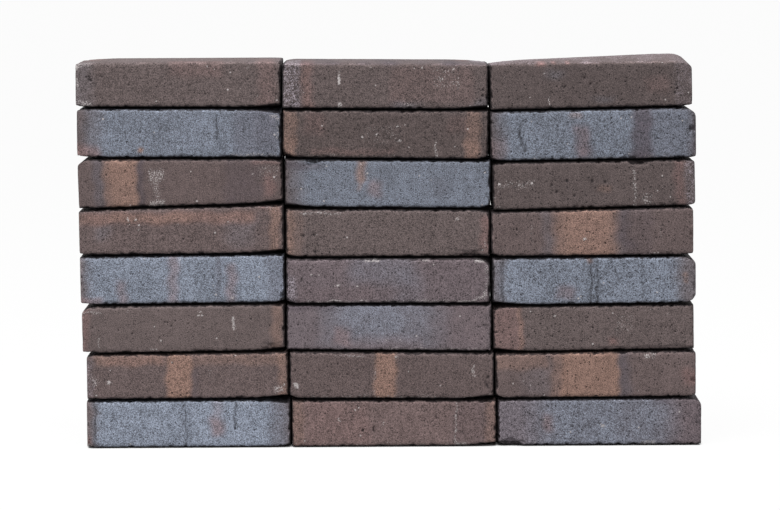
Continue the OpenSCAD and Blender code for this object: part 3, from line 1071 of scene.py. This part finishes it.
def clay_material(name, clay):
    """Fired clay that shows the marks painted on a brick."""
    material = bpy.data.materials.new(name)
    material.use_nodes = True
    material.node_tree.nodes.clear()
    board = Board(material.node_tree)

    def painted(attribute):
        """The four channels of a painted attribute."""
        colour = board.node("ShaderNodeAttribute", {"attribute_name": attribute}, output="Color")
        return (*board.parts(colour), colour.sibling("Alpha"))

    def stopped(colour):
        return (*colour, 1.0)

    place = board.node("ShaderNodeAttribute", {"attribute_name": "clay"}, output="Vector")
    edge = board.node("ShaderNodeAttribute", {"attribute_name": "arris"}, output="Fac") / MM
    body = board.node("ShaderNodeAttribute", {"attribute_name": "body"}, output="Color")
    shade = body.sibling("Alpha")
    flash, ash, smoke, blush = painted("kiln")
    lime, pit, crust, seam_and_joint_shade = painted("bloom")

    grain = board.noise(place, GRAIN_WIDE, detail=2.0, roughness=0.8) - 0.5
    sand = board.noise(place, SAND_WIDE, detail=1.0) - 0.5
    mottle = board.noise(place, MOTTLE_WIDE, detail=3.0) - 0.5
    cloud = board.noise(place, CLOUD_WIDE) - 0.5
    drag = board.noise(board.vector("MULTIPLY", place, DRAG_STRETCH), DRAG_WIDE) - 0.5

    def broken(mask, drift, fine):
        """A painted mask with cloudy borders, broken up by the grain of the clay."""
        border = mask * (1 - mask) * 4
        speckled = mask * (1 + (grain * 1.5 + sand * 0.2) * fine)
        return board.within(speckled + (mottle + cloud) * border * drift, 0.0, 1.0)

    ashen = broken(ash, 0.35, 1.2)
    colour = board.mix(ashen, body, board.scaled(tuple(clay.ash), shade))
    colour = board.mix(broken(smoke, 0.4, 0.8), colour, stopped(clay.smoke))
    colour = board.mix(broken(blush, 0.3, 0.9), colour, stopped(clay.blush))
    colour = board.mix(broken(flash, 0.2, 0.8), colour, stopped(clay.flash))

    # Gritty ends
    grit = board.noise(place, GRIT_WIDE, detail=2.0, roughness=0.7)
    grit = board.smooth(grit, 0.43, 0.6)
    gritty = board.mix(grit, board.scaled(colour, 0.5), stopped(clay.crust))
    colour = board.mix(broken(crust, 0.8, 0.5), colour, gritty)

    # Salt and pepper of the clay, with fine dark pores and the faint upright drag of the cutting wire
    near, chance, other = board.cells(place, PORE_APART)
    pore = (chance > NO_PORE) * (1 - board.smooth(near, 0.1 + other * 0.12, 0.36))
    tone = 1 + grain * (4.1 + ashen * 0.9) + sand * 0.45 + drag * 0.35
    tone = tone + mottle * (0.5 + ashen * 0.25) + cloud * (0.3 + ashen * 0.3)
    tone = board.math("MAXIMUM", tone, 0.3) * (1.05 - pore * (0.15 + other * 0.6))
    colour = board.scaled(colour, tone)

    # Pale arrises: partly worn clay and partly a painted highlight where the arrises catch the light
    patches = board.smooth(board.noise(place, RUB_AND_HIGHLIGHT_WIDE), 0.4, 0.62)
    rubbed_and_highlit = (1 - board.smooth(edge, 1.2, 3.4)) * patches
    rubbed_and_highlit = board.within(rubbed_and_highlit * (0.55 + grain * 1.5), 0.0, 1.0)
    colour = board.mix(rubbed_and_highlit, colour, board.scaled(colour, 1.7))

    # Lime, as a broken film and as rare specks
    flecks = board.noise(place, FLECK_WIDE, detail=2.0, roughness=0.8) - 0.5
    film = board.smooth(lime * 1.05 + flecks * 2.4 + mottle * 0.3, 0.55, 0.85)
    near, chance, other = board.cells(place, SPECK_APART)
    speck = (chance > NO_SPECK) * (1 - board.smooth(near, 0.15 + other * 0.15, 0.5))
    limed = board.math("MAXIMUM", speck * 0.7, film * 0.85)
    colour = board.mix(limed, colour, stopped(clay.lime))

    # Pits, scattered and placed, fine dark lines, and the painted shade of the open joints, all in the
    # pit colour
    near, chance, other = board.cells(place, PIT_APART)
    spread = board.smooth(near, 0.04 + other * 0.08, 0.22 + pit * 0.12)
    scattered = (chance > NO_PIT - pit * 0.7) * (1 - spread)
    placed = board.smooth(pit + grain * 0.9 + sand * 0.7, 0.7, 0.95)
    pitted = board.math("MAXIMUM", scattered, placed)
    lined_and_joint_shaded = board.within(seam_and_joint_shade * (1 + mottle * 1.6 + sand * 2.0), 0.0, 1.0)
    colour = board.mix(board.math("MAXIMUM", pitted * 0.85, lined_and_joint_shaded * 0.9), colour, stopped(clay.pit))

    relief = grain * 0.5 + sand * 0.3 + mottle * 0.5
    relief = relief - pore * 0.4 - pitted * 0.7 - lined_and_joint_shaded * 0.5 + limed * 0.25
    bump = board.node("ShaderNodeBump", sockets={"Strength": 0.6, "Distance": MM, "Height": relief})
    shader = board.node(
        "ShaderNodeBsdfPrincipled",
        sockets={
            "Base Color": colour,
            "Roughness": 0.84 - ash * 0.12 + limed * 0.08,
            "Specular IOR Level": 0.3,
            "Normal": bump,
        },
    )
    board.node("ShaderNodeOutputMaterial", sockets={"Surface": shader})
    return material


def lay_bricks(tone):
    """Makes every brick of one tone and hangs it on the frame."""
    scene = bpy.context.scene
    slot = tone + "_brick"
    material = clay_material(tone + "_clay", scene.stack_clay)
    body = np.array(getattr(scene.stack_clay, tone))
    laid = 0
    for seed, subpart in enumerate(frame["record"]["subparts"]):
        name = subpart["node"]
        if subpart["material_slot"] != slot:
            continue
        finish = FINISHES[name]
        blank = blank_of(frame["nodes"][name])
        brick = relief_grid(name, blank, scene.stack_relief, material, seed)
        mesh = brick.data
        place = read_attribute(mesh, "place", 3)
        kiln = paint(KILN, finish.marks, place, blank, KILN_WANDER, seed)
        bloom = paint(BLOOM_AND_JOINT_SHADE, finish.marks, place, blank, BLOOM_WANDER, seed)
        # The painted shade of the open joints goes into the channel of the fine dark lines.
        seam_and_joint_shade = BLOOM_AND_JOINT_SHADE.index("seam_and_joint_shade")
        bloom[:, seam_and_joint_shade] = np.maximum(bloom[:, seam_and_joint_shade], joint_shade(name, place, blank, seed))

        axes = blank.axes()
        foot = np.array(blank.foot)
        points = np.empty(len(mesh.vertices) * 3, dtype=np.float32)
        mesh.vertices.foreach_get("co", points)
        local = (points.reshape(-1, 3) - foot) @ axes.T
        inward = into_brick(place, blank)
        hollow = smoothstep(bloom[:, BLOOM_AND_JOINT_SHADE.index("pit"), None] * 2 - 1)
        local = local + inward * (scene.stack_relief.pit_depth * hollow)
        rough = ragged(place, seed)
        for chip in finish.chips:
            local = chip_off(local, inward, chip, blank, rough)
        mesh.vertices.foreach_set("co", (local @ axes + foot).astype(np.float32).ravel())
        mesh.update()

        warm = np.array((1 + finish.warmth, 1.0, 1 - finish.warmth))
        fired = (*(body * warm * finish.shade), finish.shade)
        write_attribute(mesh, "clay", "FLOAT_VECTOR", place / MM + np.array(SEED_STEP) / MM * seed)
        write_attribute(mesh, "body", "FLOAT_COLOR", np.tile(fired, (len(place), 1)))
        write_attribute(mesh, "kiln", "FLOAT_COLOR", kiln)
        write_attribute(mesh, "bloom", "FLOAT_COLOR", bloom)
        lay_map(mesh, place, blank)
        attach(brick, BODY)
        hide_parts(name)
        laid += 1
    if not laid:
        raise RuntimeError(f"the frame has no brick with the slot {slot}")


class BRICKS_OT_blue(bpy.types.Operator):
    """Lay the steel-blue bricks."""

    bl_idname = "bricks.blue"
    bl_label = "Blue Bricks"

    def execute(self, context):
        lay_bricks("blue")
        return {"FINISHED"}


class BRICKS_OT_slate(bpy.types.Operator):
    """Lay the mauve bricks with a blue-grey cloud."""

    bl_idname = "bricks.slate"
    bl_label = "Slate Bricks"

    def execute(self, context):
        lay_bricks("slate")
        return {"FINISHED"}


class BRICKS_OT_mauve(bpy.types.Operator):
    """Lay the mauve bricks."""

    bl_idname = "bricks.mauve"
    bl_label = "Mauve Bricks"

    def execute(self, context):
        lay_bricks("mauve")
        return {"FINISHED"}


class BRICKS_OT_brown(bpy.types.Operator):
    """Lay the dark brown bricks."""

    bl_idname = "bricks.brown"
    bl_label = "Brown Bricks"

    def execute(self, context):
        lay_bricks("brown")
        return {"FINISHED"}


class BRICKS_OT_flashed(bpy.types.Operator):
    """Lay the bricks with flame-flashed bands."""

    bl_idname = "bricks.flashed"
    bl_label = "Flashed Bricks"

    def execute(self, context):
        lay_bricks("flashed")
        return {"FINISHED"}


WHITE = (1.0, 1.0, 1.0, 1.0)
FLOOR_COLOUR = (0.38, 0.38, 0.38, 1.0)
FLOOR_SHOWN = (0.95, 0.95, 0.95, 1.0)
FLOOR_GLOW = 0.95
CONTACT_REACH = 8 * MM
CONTACT_DARK = 0.2
CONTACT_CLEAR = 0.7
FLOOR_HALF = 30.0
KEY_PLACE = Vector((-0.35, -1.05, 2.5))
KEY_SIZE = 1.8
SENSOR_WIDTH = 36.0


def studio_camera(studio, eye, aim):
    """A camera that looks at the face of the stack at the picture's own scale."""
    camera = bpy.data.objects.new("camera", bpy.data.cameras.new("camera"))
    bpy.context.scene.collection.objects.link(camera)
    focal_pixels = studio.pixels_per_mm / MM * (aim - eye).length
    camera.data.sensor_width = SENSOR_WIDTH
    camera.data.lens = focal_pixels / IMAGE_WIDTH * SENSOR_WIDTH
    turn = (aim - eye).to_track_quat("-Z", "Y").to_matrix().to_4x4()
    camera.matrix_world = Matrix.Translation(eye) @ turn @ Matrix.Rotation(-studio.roll, 4, "Z")
    bpy.context.scene.camera = camera


def seen_directly(board):
    """1 where the camera, a reflection or a clear body shows a surface, and 0 where it only lights."""
    path = board.node("ShaderNodeLightPath", output="Is Camera Ray")
    shown = board.math("MAXIMUM", path, path.sibling("Is Glossy Ray"))
    return board.math("MAXIMUM", shown, path.sibling("Is Transmission Ray"))


def studio_floor():
    """A pale floor that the camera sees nearly white, with the faint shadow of the stack."""
    side = FLOOR_HALF
    mesh = bpy.data.meshes.new("floor")
    corners = [(-side, -side, 0), (side, -side, 0), (side, side, 0), (-side, side, 0)]
    mesh.from_pydata(corners, [], [(0, 1, 2, 3)])
    floor = bpy.data.objects.new("floor", mesh)
    bpy.context.scene.collection.objects.link(floor)
    material = bpy.data.materials.new("floor")
    material.use_nodes = True
    material.node_tree.nodes.clear()
    board = Board(material.node_tree)
    seen = seen_directly(board)
    colour = board.mix(seen, FLOOR_COLOUR, FLOOR_SHOWN)
    matt = board.node("ShaderNodeBsdfDiffuse", sockets={"Color": colour})
    glow = board.node("ShaderNodeEmission", sockets={"Color": WHITE, "Strength": 1.0})
    open_air = board.node("ShaderNodeAmbientOcclusion", sockets={"Distance": CONTACT_REACH}, output="AO")
    clear = board.smooth(open_air, CONTACT_DARK, CONTACT_CLEAR)
    both = board.node("ShaderNodeMixShader", sockets={0: seen * clear * FLOOR_GLOW, 1: matt, 2: glow})
    board.node("ShaderNodeOutputMaterial", sockets={"Surface": both})
    mesh.materials.append(material)


def studio_light(studio, aim):
    """Even light from all sides and one soft box high over the face of the stack."""
    world = bpy.data.worlds.new("sky")
    bpy.context.scene.world = world
    world.use_nodes = True
    world.node_tree.nodes.clear()
    board = Board(world.node_tree)
    even = board.node("ShaderNodeBackground", sockets={"Color": WHITE, "Strength": studio.sky})
    white = board.node("ShaderNodeBackground", sockets={"Color": WHITE, "Strength": 1.0})
    both = board.node("ShaderNodeMixShader", sockets={0: seen_directly(board), 1: even, 2: white})
    board.node("ShaderNodeOutputWorld", sockets={"Surface": both})

    lamp = bpy.data.lights.new("key", "AREA")
    lamp.energy = studio.key
    lamp.size = KEY_SIZE
    box = bpy.data.objects.new("key", lamp)
    turn = (aim - KEY_PLACE).to_track_quat("-Z", "Y").to_matrix().to_4x4()
    box.matrix_world = Matrix.Translation(KEY_PLACE) @ turn
    bpy.context.scene.collection.objects.link(box)


class BRICKS_OT_studio(bpy.types.Operator):
    """Set up the floor, the light and the camera."""

    bl_idname = "bricks.studio"
    bl_label = "Studio"

    def execute(self, context):
        studio = context.scene.stack_studio
        context.scene.view_settings.view_transform = "Standard"
        face = cad_box[0][1]
        aim = Vector((studio.aim_side, face, studio.aim_height))
        eye = Vector((studio.aim_side, face - studio.distance, studio.eye_height))
        studio_camera(studio, eye, aim)
        studio_floor()
        studio_light(studio, aim)
        return {"FINISHED"}


OPERATORS = (
    BRICKS_OT_blue,
    BRICKS_OT_slate,
    BRICKS_OT_mauve,
    BRICKS_OT_brown,
    BRICKS_OT_flashed,
    BRICKS_OT_studio,
)
SETTINGS = {"stack_clay": StackClay, "stack_relief": StackRelief, "stack_studio": StackStudio}


class BRICKS_PT_stack(bpy.types.Panel):
    """Buttons and settings of the brick stack."""

    bl_idname = "BRICKS_PT_stack"
    bl_label = "Brick Stack"
    bl_space_type = "VIEW_3D"
    bl_region_type = "UI"
    bl_category = "Bricks"

    def draw(self, context):
        for operator in OPERATORS:
            self.layout.operator(operator.bl_idname)
        for name, group in SETTINGS.items():
            column = self.layout.column()
            for field in group.__annotations__:
                column.prop(getattr(context.scene, name), field)


CLASSES = (*SETTINGS.values(), *OPERATORS, BRICKS_PT_stack)


def register():
    for item in CLASSES:
        bpy.utils.register_class(item)
    for name, group in SETTINGS.items():
        setattr(bpy.types.Scene, name, bpy.props.PointerProperty(type=group))


def unregister():
    for name in SETTINGS:
        delattr(bpy.types.Scene, name)
    for item in reversed(CLASSES):
        bpy.utils.unregister_class(item)


def main():
    register()
    bpy.ops.bricks.studio()
    bpy.ops.bricks.blue()
    bpy.ops.bricks.slate()
    bpy.ops.bricks.mauve()
    bpy.ops.bricks.brown()
    bpy.ops.bricks.flashed()


if __name__ == "__main__":
    main()
